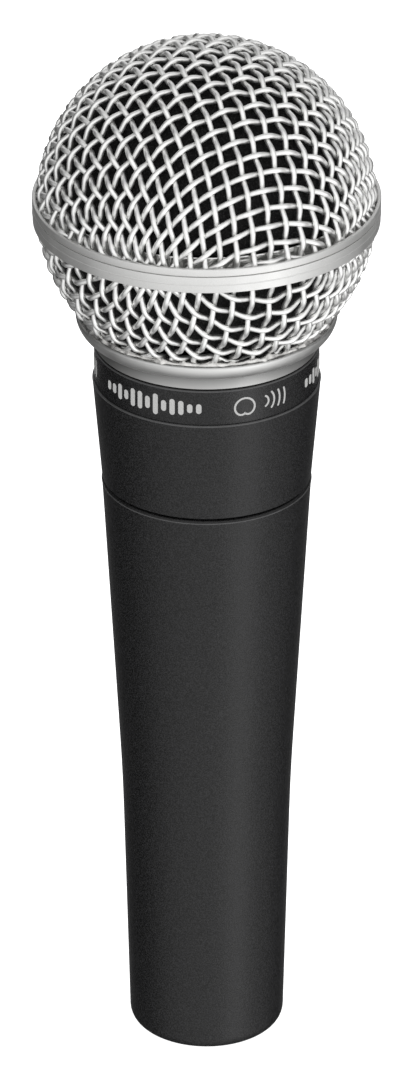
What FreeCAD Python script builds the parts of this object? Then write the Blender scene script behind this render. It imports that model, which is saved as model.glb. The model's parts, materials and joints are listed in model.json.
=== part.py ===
import FreeCAD, Part
import math
import os

# Handheld dynamic microphone, in millimetres.
# The origin is the centre of the tail face, and +Z runs up the axis to the top of the ball grille.
# Contact pins 1 and 2 lie on the X axis and the latch side of the socket faces +Y.

# ---------------------------------------------------------------- driving dimensions

TOTAL_LENGTH = 162.0
BAND_R = 25.5               # the widest part, 51 mm across

# handle casting
TAIL_R = 11.65
TAIL_ROUND = 2.0
BEND_Z = 42.3               # the taper steepens here
BEND_R = 12.70
BEND_RADIUS = 395.0
HANDLE_TOP_Z = 92.9
HANDLE_TOP_R = 15.56
TOP_EDGE_ROUND = 0.6
CAVITY_FLOOR_Z = 28.0
CAVITY_FLOOR_R = 10.4
CAVITY_TOP_R = 13.2
SPIGOT_BORE_R = 13.9
SPIGOT_BORE_DEPTH = 6.6

# cable socket in the tail
SOCKET_R = 8.05
SOCKET_DEPTH = 15.0
SOCKET_CHAMFER = 0.5
LATCH_WIDTH = 4.4
LATCH_Z = (4.5, 8.0)
LATCH_R = 8.9
PIN_R = 1.2
PIN_CIRCLE_R = 4.45
PIN_TIP_Z = 2.3
PIN_TIP_ROUND = 0.9
PIN_SHANK_R = 1.0
INSULATOR_TOP_Z = 27.0
CUP_END_Z = 32.0
CUP_HOLE_R = 0.65
CUP_DEPTH = 3.0
SCREW_Z = 21.0
SCREW_R = 1.0

# neck that carries the cartridge and the grille
NECK_Z = 93.2
NECK_R = 15.52
LEDGE_Z = 109.0
LEDGE_R = 16.85
NAME_BAND_R = 16.6
NAME_BAND_SEAT_R = 16.1
NAME_BAND_TOP_Z = 114.6
NECK_SHOULDER_Z = 114.85
THREAD_TOP_Z = 118.6
THREAD_CORE_R = 15.0
THREAD_CREST_R = 15.5
THREAD_PITCH = 0.8
THREAD_ROOT_WIDTH = 0.56
THREAD_CREST_WIDTH = 0.14
SPIGOT_CORE_R = 13.4
SPIGOT_CREST_R = 13.85
SPIGOT_END_Z = 86.6
SPIGOT_NECK_R = 14.9
SLEEVE_BORE_R = 12.0
SHELF_Z = (110.0, 112.0)
SHELF_R = 11.4
MOUNT_BORE_R = 13.4

# ball grille
BALL_R = 25.07              # over the crests of the woven wire
BALL_Z = TOTAL_LENGTH - BALL_R
MESH_SHELL = 0.8
MESH_SPLIT_Z = 136.6
BAND_Z = (134.85, 138.6)
BAND_BORE_R = 25.12
BAND_LIP_R = 24.95
HOOP_R = 23.25
HOOP_SHEET = 0.5
HOOP_Z = (134.4, 139.45)
FOAM_R = 23.2
FOAM_THICKNESS = 2.0
FOAM_BOTTOM_Z = 120.4
FOAM_GAP = 0.15
COLLAR_Z = 114.9
COLLAR_R = 16.56
COLLAR_BORE_R = 15.6
CUP_FOOT = (16.5, 116.83)
CUP_BULGE = (18.39, 117.69)
CUP_LIP = (19.28, 119.53)
LIP_ROUND = 0.34
COLLAR_SEAT_Z = 118.95

# cartridge, floating in rubber inside the neck
CAP_R = 12.4
CAP_SHEET = 0.8
CAP_TOP_Z = 134.0
CAP_SKIRT_Z = 126.5
CAP_HOLE_R = 1.1
SCREEN_SHEET = 0.2
RESONATOR_SHEET = 0.8
RESONATOR_WALL_R = 11.0
BASKET_R = 11.9
BASKET_BORE_R = 10.8
BASKET_Z = (118.0, 129.15)
MAGNET_CUP_Z = (116.0, 126.2)
MAGNET_CUP_FLOOR = 2.5
GAP_OUTER_R = 9.3
POLE_R = 8.35
POLE_HEIGHT = 3.0
POLE_HOLE_R = 1.5
MAGNET_R = 7.9
FORMER_R = 8.6
FORMER_SHEET = 0.1
FORMER_Z = (123.8, 129.2)
COIL_BUILD = 0.35
COIL_HEIGHT = 2.8
DOME_HEIGHT = 2.0
FILM = 0.1
SURROUND_RISE = 0.6
SURROUND_R = 10.8
TUBE_R = 8.5
TUBE_WALL = 0.7
TUBE_END_Z = 76.5
TUBE_FLANGE = 1.5
TUBE_CAP_THICKNESS = 1.0
FELT_Z = (100.0, 104.0)
LUG_LENGTH = 2.0
LUG_SPACING = 6.0
MOUNT_LIP_R = 13.2
MOUNT_LIP_TOP_Z = 120.3
MOUNT_GAP = 0.05
REAR_MOUNT_Z = (88.0, 91.0)

# output transformer, potted in the handle
CORE_X = 15.0
CORE_Y = 12.0
CORE_Z = (46.0, 61.0)
CORE_LEG = 4.6
CORE_YOKE = 3.0
CORE_LIMB = 2.3
BOBBIN_WALL = 0.6
BOBBIN_Y = 17.2
POTTING_Z = (44.0, 52.0)
LEAD_R = 0.5
LEAD_Y = 7.4                # where the leads run beside the core

Y = FreeCAD.Vector(0, 1, 0)
Z = FreeCAD.Vector(0, 0, 1)
ORIGIN = FreeCAD.Vector(0, 0, 0)


# ---------------------------------------------------------------- shape helpers

def point(r, z):
    """A point of a lathe outline: radius and height."""
    return FreeCAD.Vector(r, 0, z)


def rounded_edges(points, radii, closed):
    """Straight runs through the points, with a tangent arc at each point whose radius is not zero."""
    edges = []
    count = len(points)
    here = None if closed else points[0]
    first = None
    corners = range(count) if closed else range(1, count - 1)
    for i in corners:
        corner = points[i]
        start = corner
        end = corner
        if radii[i]:
            back = (points[i - 1] - corner).normalize()
            ahead = (points[(i + 1) % count] - corner).normalize()
            half_angle = back.getAngle(ahead) / 2
            reach = radii[i] / math.tan(half_angle)
            bisector = (back + ahead).normalize()
            start = corner + back * reach
            end = corner + ahead * reach
            middle = corner + bisector * (radii[i] / math.sin(half_angle) - radii[i])
        if here is not None and here.distanceToPoint(start) > 1e-6:
            edges.append(Part.makeLine(here, start))
        if radii[i]:
            edges.append(Part.Arc(start, middle, end).toShape())
        first = first or start
        here = end
    last = first if closed else points[-1]
    if here.distanceToPoint(last) > 1e-6:
        edges.append(Part.makeLine(here, last))
    return edges


def turned(corners):
    """A solid of revolution about Z from (radius, height) or (radius, height, corner radius) points."""
    points = [point(c[0], c[1]) for c in corners]
    radii = [c[2] if len(c) > 2 else 0 for c in corners]
    wire = Part.Wire(rounded_edges(points, radii, closed=True))
    return Part.Face(wire).revolve(ORIGIN, Z, 360)


def ring(inner_r, outer_r, low_z, high_z):
    """A plain tube about the axis, or a disc where inner_r is zero."""
    body = Part.makeCylinder(outer_r, high_z - low_z, point(0, low_z), Z)
    if inner_r:
        body = body.cut(Part.makeCylinder(inner_r, high_z - low_z, point(0, low_z), Z))
    return body


def centred_box(size_x, size_y, low_z, high_z):
    """A box centred on the axis."""
    corner = FreeCAD.Vector(-size_x / 2, -size_y / 2, low_z)
    return Part.makeBox(size_x, size_y, high_z - low_z, corner)


def ball_shell(outer_r, thickness, low_z, high_z):
    """A zone of a hollow sphere about the ball centre, between two heights."""
    centre = point(0, BALL_Z)
    shell = Part.makeSphere(outer_r, centre).cut(Part.makeSphere(outer_r - thickness, centre))
    return shell.common(ring(0, 2 * outer_r, low_z, high_z))


def round_holes(radius, circle_r, count, low_z, high_z):
    """Upright drills on a circle about the axis."""
    drills = []
    for i in range(count):
        angle = 2 * math.pi * i / count
        foot = FreeCAD.Vector(circle_r * math.cos(angle), circle_r * math.sin(angle), low_z)
        drills.append(Part.makeCylinder(radius, high_z - low_z, foot, Z))
    return drills


def screw_ridge(core_r, crest_r, low_z, high_z):
    """A helical thread ridge, a trapezoid swept up the axis and sunk a little into its core."""
    sunk = 0.1
    helix = Part.makeHelix(THREAD_PITCH, high_z - low_z, core_r)
    helix.translate(point(0, low_z))
    root = THREAD_ROOT_WIDTH / 2
    crest = THREAD_CREST_WIDTH / 2
    profile = Part.makePolygon([
        point(core_r - sunk, low_z - root),
        point(crest_r, low_z - crest),
        point(crest_r, low_z + crest),
        point(core_r - sunk, low_z + root),
        point(core_r - sunk, low_z - root),
    ])
    return Part.Wire(helix.Edges).makePipeShell([profile], True, True)


def lead(places):
    """A wire lead of round section along straight runs joined by the largest tangent arcs that fit."""
    arc_share = 0.45            # of the shorter run beside a bend
    points = [FreeCAD.Vector(*place) for place in places]
    radii = [0] * len(points)
    for i in range(1, len(points) - 1):
        back = points[i - 1] - points[i]
        ahead = points[i + 1] - points[i]
        half_turn = (math.pi - back.getAngle(ahead)) / 2
        shorter = min(back.Length, ahead.Length)
        radii[i] = arc_share * shorter / math.tan(half_turn)
        print("lead bend radius", round(radii[i], 2))
    path = Part.Wire(rounded_edges(points, radii, closed=False))
    section = Part.Wire(Part.makeCircle(LEAD_R, points[0], points[1] - points[0]))
    return path.makePipeShell([section], True, False)


def strip(points, thickness, width):
    """A bent flat spring: a path in the XZ plane, thickened towards +X and +Z, with its width along Y."""
    outline = []
    for x, z in points:
        outline.append(FreeCAD.Vector(x, -width / 2, z))
    for x, z in reversed(points):
        outline.append(FreeCAD.Vector(x + thickness, -width / 2, z + thickness))
    outline.append(outline[0])
    return Part.Face(Part.makePolygon(outline)).extrude(Y * width)


# ---------------------------------------------------------------- handle and cable socket

def handle():
    """The tapered casting: socket in the tail, a hollow barrel, and the bore that takes the neck."""
    bore_floor_z = HANDLE_TOP_Z - SPIGOT_BORE_DEPTH
    body = turned([
        (SOCKET_R + SOCKET_CHAMFER, 0),
        (TAIL_R, 0, TAIL_ROUND),
        (BEND_R, BEND_Z, BEND_RADIUS),
        (HANDLE_TOP_R, HANDLE_TOP_Z, TOP_EDGE_ROUND),
        (SPIGOT_BORE_R, HANDLE_TOP_Z),
        (SPIGOT_BORE_R, bore_floor_z),
        (CAVITY_TOP_R, bore_floor_z),
        (CAVITY_FLOOR_R, CAVITY_FLOOR_Z),
        (SOCKET_R, CAVITY_FLOOR_Z),
        (SOCKET_R, SOCKET_CHAMFER),
    ])
    latch = Part.makeBox(
        LATCH_WIDTH, LATCH_R, LATCH_Z[1] - LATCH_Z[0], FreeCAD.Vector(-LATCH_WIDTH / 2, 0, LATCH_Z[0])
    )
    screw_hole = Part.makeCylinder(SCREW_R, 2 * TAIL_R, point(0, SCREW_Z), Y)
    return body.cut(latch).cut(screw_hole)


def pin_places():
    """Pins 1 and 2 on the X axis and pin 3 opposite the latch."""
    return [(-PIN_CIRCLE_R, 0), (PIN_CIRCLE_R, 0), (0, -PIN_CIRCLE_R)]


def connector_insulator():
    """The plastic block that fills the socket's floor and holds the pins."""
    clearance = 0.05
    screw_tip_y = 6.0
    block = ring(0, SOCKET_R - clearance, SOCKET_DEPTH, INSULATOR_TOP_Z)
    for x, y in pin_places():
        block = block.cut(Part.makeCylinder(PIN_SHANK_R, TOTAL_LENGTH, FreeCAD.Vector(x, y, 0), Z))
    return block.cut(Part.makeCylinder(SCREW_R, TAIL_R, FreeCAD.Vector(0, screw_tip_y, SCREW_Z), Y))


def contact_pin(x, y):
    """A turned contact: rounded tip, a thinner shank through the block and a solder cup behind it."""
    body = turned([
        (0, PIN_TIP_Z),
        (PIN_R, PIN_TIP_Z, PIN_TIP_ROUND),
        (PIN_R, SOCKET_DEPTH),
        (PIN_SHANK_R, SOCKET_DEPTH),
        (PIN_SHANK_R, CUP_END_Z),
        (CUP_HOLE_R, CUP_END_Z),
        (CUP_HOLE_R, CUP_END_Z - CUP_DEPTH),
        (0, CUP_END_Z - CUP_DEPTH),
    ])
    body.translate(FreeCAD.Vector(x, y, 0))
    return body


def ground_contact():
    """A leaf spring from the block to the casting's wall."""
    leaf = 0.3
    leaf_width = 3.0
    foot = (-5.9, INSULATOR_TOP_Z)
    heel = (-7.6, INSULATOR_TOP_Z)
    knee = (-7.6, 29.0)
    tip = (-9.9, 33.0)
    return strip([foot, heel, knee, tip], leaf, leaf_width)


def insert_screw():
    """The headless screw in the back of the tail that locks the block, with a hexagon socket."""
    clearance = 0.03
    tip_y = 6.1
    head_y = 11.9
    key_depth = 1.2
    key_r = 0.5
    shank = Part.makeCylinder(SCREW_R - clearance, head_y - tip_y, FreeCAD.Vector(0, tip_y, SCREW_Z), Y)
    corners = []
    for i in range(7):
        angle = math.pi * i / 3
        place = FreeCAD.Vector(key_r * math.cos(angle), head_y - key_depth, SCREW_Z + key_r * math.sin(angle))
        corners.append(place)
    return shank.cut(Part.Face(Part.makePolygon(corners)).extrude(Y * key_depth))


# ---------------------------------------------------------------- transformer and leads

def transformer_core():
    """Laminated core: an outer frame and a centre leg, with two windows through it."""
    core = centred_box(CORE_X, CORE_Y, *CORE_Z)
    window_x = CORE_X / 2 - CORE_LIMB - CORE_LEG / 2
    window_z = CORE_Z[0] + CORE_YOKE
    height = CORE_Z[1] - CORE_Z[0] - 2 * CORE_YOKE
    for x in (CORE_LEG / 2, -CORE_LEG / 2 - window_x):
        core = core.cut(Part.makeBox(window_x, CORE_Y, height, FreeCAD.Vector(x, -CORE_Y / 2, window_z)))
    return core


def bobbin_size():
    """Clear sizes of the bobbin: its bore, its wall and its flange, each as x and y."""
    clearance = 0.1
    bore = (CORE_LEG + clearance, CORE_Y + clearance)
    wall = (bore[0] + 2 * BOBBIN_WALL, bore[1] + 2 * BOBBIN_WALL)
    flange = (CORE_X - 2 * CORE_LIMB - clearance, BOBBIN_Y)
    low_z = CORE_Z[0] + CORE_YOKE + clearance / 2
    high_z = CORE_Z[1] - CORE_YOKE - clearance / 2
    return bore, wall, flange, low_z, high_z


def transformer_bobbin():
    """The plastic spool on the centre leg."""
    bore, wall, flange, low_z, high_z = bobbin_size()
    spool = centred_box(*wall, low_z, high_z)
    spool = spool.fuse(centred_box(*flange, low_z, low_z + BOBBIN_WALL))
    spool = spool.fuse(centred_box(*flange, high_z - BOBBIN_WALL, high_z))
    return spool.cut(centred_box(*bore, low_z, high_z)).removeSplitter()


def transformer_winding():
    """The wound copper between the bobbin's flanges, a little lower than they are."""
    inset = 0.4
    wall, flange, low_z, high_z = bobbin_size()[1:]
    winding = centred_box(flange[0] - inset, flange[1] - inset, low_z + BOBBIN_WALL, high_z - BOBBIN_WALL)
    return winding.cut(centred_box(*wall, low_z, high_z))


def cavity_radius(z):
    """The barrel's inner radius at a height."""
    top_z = HANDLE_TOP_Z - SPIGOT_BORE_DEPTH
    share = (z - CAVITY_FLOOR_Z) / (top_z - CAVITY_FLOOR_Z)
    return CAVITY_FLOOR_R + share * (CAVITY_TOP_R - CAVITY_FLOOR_R)


def output_leads():
    """Two leads from the contacts' solder cups to the foot of the bobbin."""
    cup_floor = CUP_END_Z - CUP_DEPTH
    bobbin_z = CORE_Z[0] + CORE_YOKE
    leave_z = 35.0
    arrive_z = 42.0
    across = 3.5
    behind = lead([
        (PIN_CIRCLE_R, 0, cup_floor),
        (PIN_CIRCLE_R, 0, leave_z),
        (across, LEAD_Y, arrive_z),
        (across, LEAD_Y, bobbin_z),
    ])
    front = lead([
        (0, -PIN_CIRCLE_R, cup_floor),
        (0, -PIN_CIRCLE_R, leave_z),
        (0, -LEAD_Y, arrive_z),
        (0, -LEAD_Y, bobbin_z),
    ])
    return Part.makeCompound([behind, front])


def cartridge_leads():
    """Two slack leads from the top of the bobbin to the cartridge's terminals."""
    bobbin_z = CORE_Z[1] - CORE_YOKE
    lug_end_z = TUBE_END_Z - TUBE_CAP_THICKNESS - LUG_LENGTH
    leave_z = 63.0
    arrive_z = 69.0
    leads = []
    for side in (-1, 1):
        x = side * LUG_SPACING / 2
        leads.append(lead([
            (x, side * LEAD_Y, bobbin_z),
            (x, side * LEAD_Y, leave_z),
            (x, 0, arrive_z),
            (x, 0, lug_end_z),
        ]))
    return Part.makeCompound(leads)


def transformer_potting(held):
    """Wax that fills the barrel round the lower half of the transformer and its leads."""
    low_z, high_z = POTTING_Z
    wax = turned([(0, low_z), (cavity_radius(low_z), low_z), (cavity_radius(high_z), high_z), (0, high_z)])
    for piece in held:
        wax = wax.cut(piece)
    return max(wax.Solids, key=lambda solid: solid.Volume)


# ---------------------------------------------------------------- neck

def neck_sleeve():
    """The cone above the handle: a spigot thread below, the grille's thread above, a bore through."""
    sleeve = turned([
        (SLEEVE_BORE_R, SPIGOT_END_Z),
        (SPIGOT_CORE_R, SPIGOT_END_Z),
        (SPIGOT_CORE_R, HANDLE_TOP_Z),
        (SPIGOT_NECK_R, HANDLE_TOP_Z),
        (SPIGOT_NECK_R, NECK_Z),
        (NECK_R, NECK_Z, 0.15),
        (LEDGE_R, LEDGE_Z, 0.12),
        (NAME_BAND_SEAT_R, LEDGE_Z),
        (NAME_BAND_SEAT_R, NECK_SHOULDER_Z),
        (THREAD_CORE_R, NECK_SHOULDER_Z),
        (THREAD_CORE_R, THREAD_TOP_Z),
        (MOUNT_BORE_R, THREAD_TOP_Z),
        (MOUNT_BORE_R, SHELF_Z[1]),
        (SHELF_R, SHELF_Z[1]),
        (SHELF_R, SHELF_Z[0]),
        (SLEEVE_BORE_R, SHELF_Z[0]),
    ])
    run_in = 0.35
    grille_thread = screw_ridge(THREAD_CORE_R, THREAD_CREST_R, NECK_SHOULDER_Z + run_in, THREAD_TOP_Z - run_in)
    spigot_thread = screw_ridge(SPIGOT_CORE_R, SPIGOT_CREST_R, SPIGOT_END_Z + run_in, HANDLE_TOP_Z - run_in)
    return sleeve.fuse(grille_thread).fuse(spigot_thread)


def name_band():
    """The blank marking ring pressed round the neck, just under the grille."""
    return turned([
        (NAME_BAND_SEAT_R, LEDGE_Z),
        (NAME_BAND_R, LEDGE_Z),
        (NAME_BAND_R, NAME_BAND_TOP_Z, 0.15),
        (NAME_BAND_SEAT_R, NAME_BAND_TOP_Z),
    ])


# ---------------------------------------------------------------- grille

def grille_collar():
    """The turned ring under the ball: bored for the neck's thread, flared to a rounded lip."""
    cup = Part.Arc(point(*CUP_FOOT), point(*CUP_BULGE), point(*CUP_LIP)).toShape()
    lip_top = point(CUP_LIP[0] - LIP_ROUND, CUP_LIP[1] + LIP_ROUND)
    lip_inside = point(CUP_LIP[0] - 2 * LIP_ROUND, CUP_LIP[1])
    groove_r = 17.7
    foot_edge = 0.15
    lower = [
        point(groove_r, COLLAR_SEAT_Z),
        point(COLLAR_BORE_R, COLLAR_SEAT_Z),
        point(COLLAR_BORE_R, COLLAR_Z),
        point(COLLAR_R - foot_edge, COLLAR_Z),
        point(COLLAR_R, COLLAR_Z + foot_edge),
        point(*CUP_FOOT),
    ]
    edges = [Part.makeLine(lip_inside, lower[0])]
    for start, end in zip(lower, lower[1:]):
        edges.append(Part.makeLine(start, end))
    edges.append(cup)
    edges.append(Part.Arc(point(*CUP_LIP), lip_top, lip_inside).toShape())
    return Part.Face(Part.Wire(edges)).revolve(ORIGIN, Z, 360)


def grille_band():
    """The thin band round the ball's middle, with a fine groove, a step and a lip over the mesh."""
    low_z, high_z = BAND_Z
    step_z = 136.07
    step = 0.04
    groove_z = 137.35
    groove_half = 0.12
    groove_depth = 0.12
    lip_fall = 0.45
    return turned([
        (BAND_BORE_R, low_z),
        (BAND_R - step, low_z, 0.15),
        (BAND_R - step, step_z - step),
        (BAND_R, step_z),
        (BAND_R, groove_z - groove_half),
        (BAND_R - groove_depth, groove_z - groove_half / 2),
        (BAND_R - groove_depth, groove_z + groove_half / 2),
        (BAND_R, groove_z + groove_half),
        (BAND_R, high_z - lip_fall, 0.3),
        (BAND_LIP_R + lip_fall / 4, high_z),
        (BAND_LIP_R, high_z - lip_fall / 4),
        (BAND_BORE_R, high_z - lip_fall),
    ])


def grille_inner_hoop():
    """The sheet-metal hoop that backs both edges of the mesh inside the band."""
    return turned([
        (HOOP_R - HOOP_SHEET, HOOP_Z[0]),
        (HOOP_R, HOOP_Z[0]),
        (HOOP_R, HOOP_Z[1], 0.2),
        (HOOP_R - HOOP_SHEET, HOOP_Z[1], 0.2),
    ])


def grille_bowl_mesh():
    """The lower half of the woven ball, from the collar to the band."""
    return ball_shell(BALL_R, MESH_SHELL, COLLAR_SEAT_Z + MOUNT_GAP, MESH_SPLIT_Z)


def grille_dome_mesh():
    """The upper half of the woven ball, from the band to the top."""
    return ball_shell(BALL_R, MESH_SHELL, MESH_SPLIT_Z + MOUNT_GAP, TOTAL_LENGTH + 1).cut(grille_band())


def foam_bowl_liner():
    """The lower foam windscreen inside the mesh."""
    return ball_shell(FOAM_R, FOAM_THICKNESS, FOAM_BOTTOM_Z, HOOP_Z[0] - FOAM_GAP)


def foam_dome_liner():
    """The upper foam windscreen inside the mesh."""
    return ball_shell(FOAM_R, FOAM_THICKNESS, HOOP_Z[1] + FOAM_GAP, TOTAL_LENGTH)


# ---------------------------------------------------------------- cartridge

def cartridge_cap():
    """The perforated front cap over the diaphragm."""
    cap = turned([
        (BASKET_R, CAP_SKIRT_Z),
        (CAP_R, CAP_SKIRT_Z),
        (CAP_R, CAP_TOP_Z, 0.8),
        (0, CAP_TOP_Z),
        (0, CAP_TOP_Z - CAP_SHEET),
        (BASKET_R, CAP_TOP_Z - CAP_SHEET),
    ])
    under = CAP_TOP_Z - 2 * CAP_SHEET
    above = CAP_TOP_Z + 1
    drills = []
    for circle_r, count in ((0, 1), (4.0, 6), (8.0, 12)):
        drills += round_holes(CAP_HOLE_R, circle_r, count, under, above)
    return cap.cut(drills)


def cap_screen():
    """The cloth disc behind the cap's holes."""
    return ring(0, BASKET_R - 0.3, CAP_TOP_Z - CAP_SHEET - SCREEN_SHEET, CAP_TOP_Z - CAP_SHEET)


def resonator_disc():
    """The plastic disc over the diaphragm, on a wall that clamps the diaphragm's rim."""
    top_z = CAP_TOP_Z - CAP_SHEET - SCREEN_SHEET
    rim_z = BASKET_Z[1] + 2 * FILM
    outer_r = BASKET_R - MOUNT_GAP
    disc = turned([
        (RESONATOR_WALL_R, rim_z),
        (outer_r, rim_z),
        (outer_r, top_z),
        (0, top_z),
        (0, top_z - RESONATOR_SHEET),
        (RESONATOR_WALL_R, top_z - RESONATOR_SHEET),
    ])
    under = top_z - 2 * RESONATOR_SHEET
    above = top_z + 1
    centre_hole_r = 1.5
    vent_r = 1.3
    vent_circle_r = 6.0
    vents = 8
    drills = round_holes(centre_hole_r, 0, 1, under, above)
    drills += round_holes(vent_r, vent_circle_r, vents, under, above)
    return disc.cut(drills)


def cartridge_basket():
    """The moulded ring round the magnet cup that carries the diaphragm's rim."""
    cup_top = MAGNET_CUP_Z[1]
    ledge_r = 9.6
    return turned([
        (BASKET_BORE_R, BASKET_Z[0]),
        (BASKET_R, BASKET_Z[0]),
        (BASKET_R, BASKET_Z[1]),
        (RESONATOR_WALL_R, BASKET_Z[1]),
        (ledge_r, cup_top + 1.0),
        (ledge_r, cup_top),
        (BASKET_BORE_R, cup_top),
    ])


def magnet_cup():
    """The steel pot whose rim is the outer pole."""
    low_z, high_z = MAGNET_CUP_Z
    floor_z = low_z + MAGNET_CUP_FLOOR
    return turned([
        (0, low_z),
        (BASKET_BORE_R, low_z),
        (BASKET_BORE_R, high_z),
        (GAP_OUTER_R, high_z),
        (GAP_OUTER_R, floor_z),
        (0, floor_z),
    ])


def magnet():
    """The magnet disc on the pot's floor."""
    return ring(0, MAGNET_R, MAGNET_CUP_Z[0] + MAGNET_CUP_FLOOR, MAGNET_CUP_Z[1] - POLE_HEIGHT)


def pole_cap():
    """The inner pole on top of the magnet."""
    return ring(POLE_HOLE_R, POLE_R, MAGNET_CUP_Z[1] - POLE_HEIGHT, MAGNET_CUP_Z[1])


def coil_former():
    """The thin tube that hangs from the diaphragm into the gap."""
    return ring(FORMER_R, FORMER_R + FORMER_SHEET, *FORMER_Z)


def voice_coil():
    """The winding on the former's lower end."""
    inner_r = FORMER_R + FORMER_SHEET
    return ring(inner_r, inner_r + COIL_BUILD, FORMER_Z[0], FORMER_Z[0] + COIL_HEIGHT)


def diaphragm_dome():
    """The thin film dome on top of the former."""
    edge_r = FORMER_R + FORMER_SHEET
    base_z = FORMER_Z[1]
    sphere_r = (edge_r**2 + DOME_HEIGHT**2) / (2 * DOME_HEIGHT)
    centre = point(0, base_z + DOME_HEIGHT - sphere_r)
    film = Part.makeSphere(sphere_r + FILM, centre).cut(Part.makeSphere(sphere_r, centre))
    return film.common(ring(0, edge_r, base_z, base_z + 2 * DOME_HEIGHT))


def diaphragm_surround():
    """The rolled film ring between the dome and its clamped rim."""
    inner_r = FORMER_R + FORMER_SHEET + MOUNT_GAP
    low_z = BASKET_Z[1]
    middle_r = (inner_r + SURROUND_R) / 2
    rim_r = BASKET_R - MOUNT_GAP
    under = Part.Arc(point(inner_r, low_z), point(middle_r, low_z + SURROUND_RISE), point(SURROUND_R, low_z))
    over = Part.Arc(
        point(SURROUND_R, low_z + FILM),
        point(middle_r, low_z + SURROUND_RISE + FILM),
        point(inner_r, low_z + FILM),
    )
    edges = [
        under.toShape(),
        Part.makeLine(point(SURROUND_R, low_z), point(rim_r, low_z)),
        Part.makeLine(point(rim_r, low_z), point(rim_r, low_z + FILM)),
        Part.makeLine(point(rim_r, low_z + FILM), point(SURROUND_R, low_z + FILM)),
        over.toShape(),
        Part.makeLine(point(inner_r, low_z + FILM), point(inner_r, low_z)),
    ]
    return Part.Face(Part.Wire(edges)).revolve(ORIGIN, Z, 360)


def rear_tube():
    """The chamber behind the magnet, flanged to the cup and reaching down into the handle."""
    top_z = MAGNET_CUP_Z[0]
    return turned([
        (TUBE_R - TUBE_WALL, TUBE_END_Z),
        (TUBE_R, TUBE_END_Z),
        (TUBE_R, top_z - TUBE_FLANGE),
        (BASKET_BORE_R, top_z - TUBE_FLANGE),
        (BASKET_BORE_R, top_z),
        (TUBE_R - TUBE_WALL, top_z),
    ])


def tube_cap():
    """The terminal board that closes the chamber's lower end."""
    return ring(0, TUBE_R, TUBE_END_Z - TUBE_CAP_THICKNESS, TUBE_END_Z)


def tube_felt():
    """The damping felt inside the chamber."""
    return ring(0, TUBE_R - TUBE_WALL, *FELT_Z)


def terminal_lugs():
    """Two flat solder lugs under the terminal board."""
    lug_width = 2.2
    lug_sheet = 0.4
    low_z = TUBE_END_Z - TUBE_CAP_THICKNESS - LUG_LENGTH
    lugs = []
    for side in (-1, 1):
        corner = FreeCAD.Vector(side * LUG_SPACING / 2 - lug_width / 2, -lug_sheet / 2, low_z)
        lugs.append(Part.makeBox(lug_width, lug_sheet, LUG_LENGTH, corner))
    return Part.makeCompound(lugs)


def front_shock_mount():
    """The rubber ring that hangs the cartridge in the neck, with a lip over the neck's end."""
    return turned([
        (BASKET_BORE_R + MOUNT_GAP, SHELF_Z[1]),
        (MOUNT_BORE_R - MOUNT_GAP, SHELF_Z[1]),
        (MOUNT_BORE_R - MOUNT_GAP, THREAD_TOP_Z - 1),
        (MOUNT_LIP_R, THREAD_TOP_Z),
        (MOUNT_LIP_R, MOUNT_LIP_TOP_Z, 0.6),
        (BASKET_R + MOUNT_GAP, MOUNT_LIP_TOP_Z),
        (BASKET_R + MOUNT_GAP, BASKET_Z[0] - MOUNT_GAP),
        (BASKET_BORE_R + MOUNT_GAP, BASKET_Z[0] - MOUNT_GAP),
    ])


def rear_shock_mount():
    """The rubber ring that centres the chamber tube in the neck."""
    return turned([
        (TUBE_R + MOUNT_GAP, REAR_MOUNT_Z[0]),
        (SLEEVE_BORE_R - MOUNT_GAP, REAR_MOUNT_Z[0], 0.5),
        (SLEEVE_BORE_R - MOUNT_GAP, REAR_MOUNT_Z[1], 0.5),
        (TUBE_R + MOUNT_GAP, REAR_MOUNT_Z[1]),
    ])


# ---------------------------------------------------------------- the model

def all_parts():
    """Every sub-part by name."""
    core = transformer_core()
    bobbin = transformer_bobbin()
    winding = transformer_winding()
    outgoing = output_leads()
    parts = {
        "handle": handle(),
        "connector_insulator": connector_insulator(),
        "ground_contact": ground_contact(),
        "insert_screw": insert_screw(),
        "transformer_core": core,
        "transformer_bobbin": bobbin,
        "transformer_winding": winding,
        "transformer_potting": transformer_potting([core, bobbin, winding, outgoing]),
        "output_leads": outgoing,
        "cartridge_leads": cartridge_leads(),
        "neck_sleeve": neck_sleeve(),
        "name_band": name_band(),
        "front_shock_mount": front_shock_mount(),
        "rear_shock_mount": rear_shock_mount(),
        "grille_collar": grille_collar(),
        "grille_bowl_mesh": grille_bowl_mesh(),
        "grille_band": grille_band(),
        "grille_inner_hoop": grille_inner_hoop(),
        "grille_dome_mesh": grille_dome_mesh(),
        "foam_bowl_liner": foam_bowl_liner(),
        "foam_dome_liner": foam_dome_liner(),
        "cartridge_cap": cartridge_cap(),
        "cap_screen": cap_screen(),
        "resonator_disc": resonator_disc(),
        "cartridge_basket": cartridge_basket(),
        "magnet_cup": magnet_cup(),
        "magnet": magnet(),
        "pole_cap": pole_cap(),
        "rear_tube": rear_tube(),
        "tube_cap": tube_cap(),
        "tube_felt": tube_felt(),
        "terminal_lugs": terminal_lugs(),
        "diaphragm_surround": diaphragm_surround(),
        "diaphragm_dome": diaphragm_dome(),
        "coil_former": coil_former(),
        "voice_coil": voice_coil(),
    }
    for number, (x, y) in enumerate(pin_places(), start=1):
        parts[f"contact_pin_{number}"] = contact_pin(x, y)
    return parts


def export(parts):
    """One STEP file for each sub-part."""
    os.makedirs("parts", exist_ok=True)
    for name, shape in parts.items():
        box = shape.optimalBoundingBox()
        state = "valid" if shape.isValid() else "INVALID"
        print(f"{name}: {state}, {len(shape.Solids)} solid, {shape.Volume:.1f} mm3,", end=" ")
        print(f"z {box.ZMin:.2f} to {box.ZMax:.2f}, half width {max(box.XMax, box.YMax):.2f}")
        shape.exportStep(f"parts/{name}.step")


export(all_parts())
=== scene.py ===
import json
import math

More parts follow.
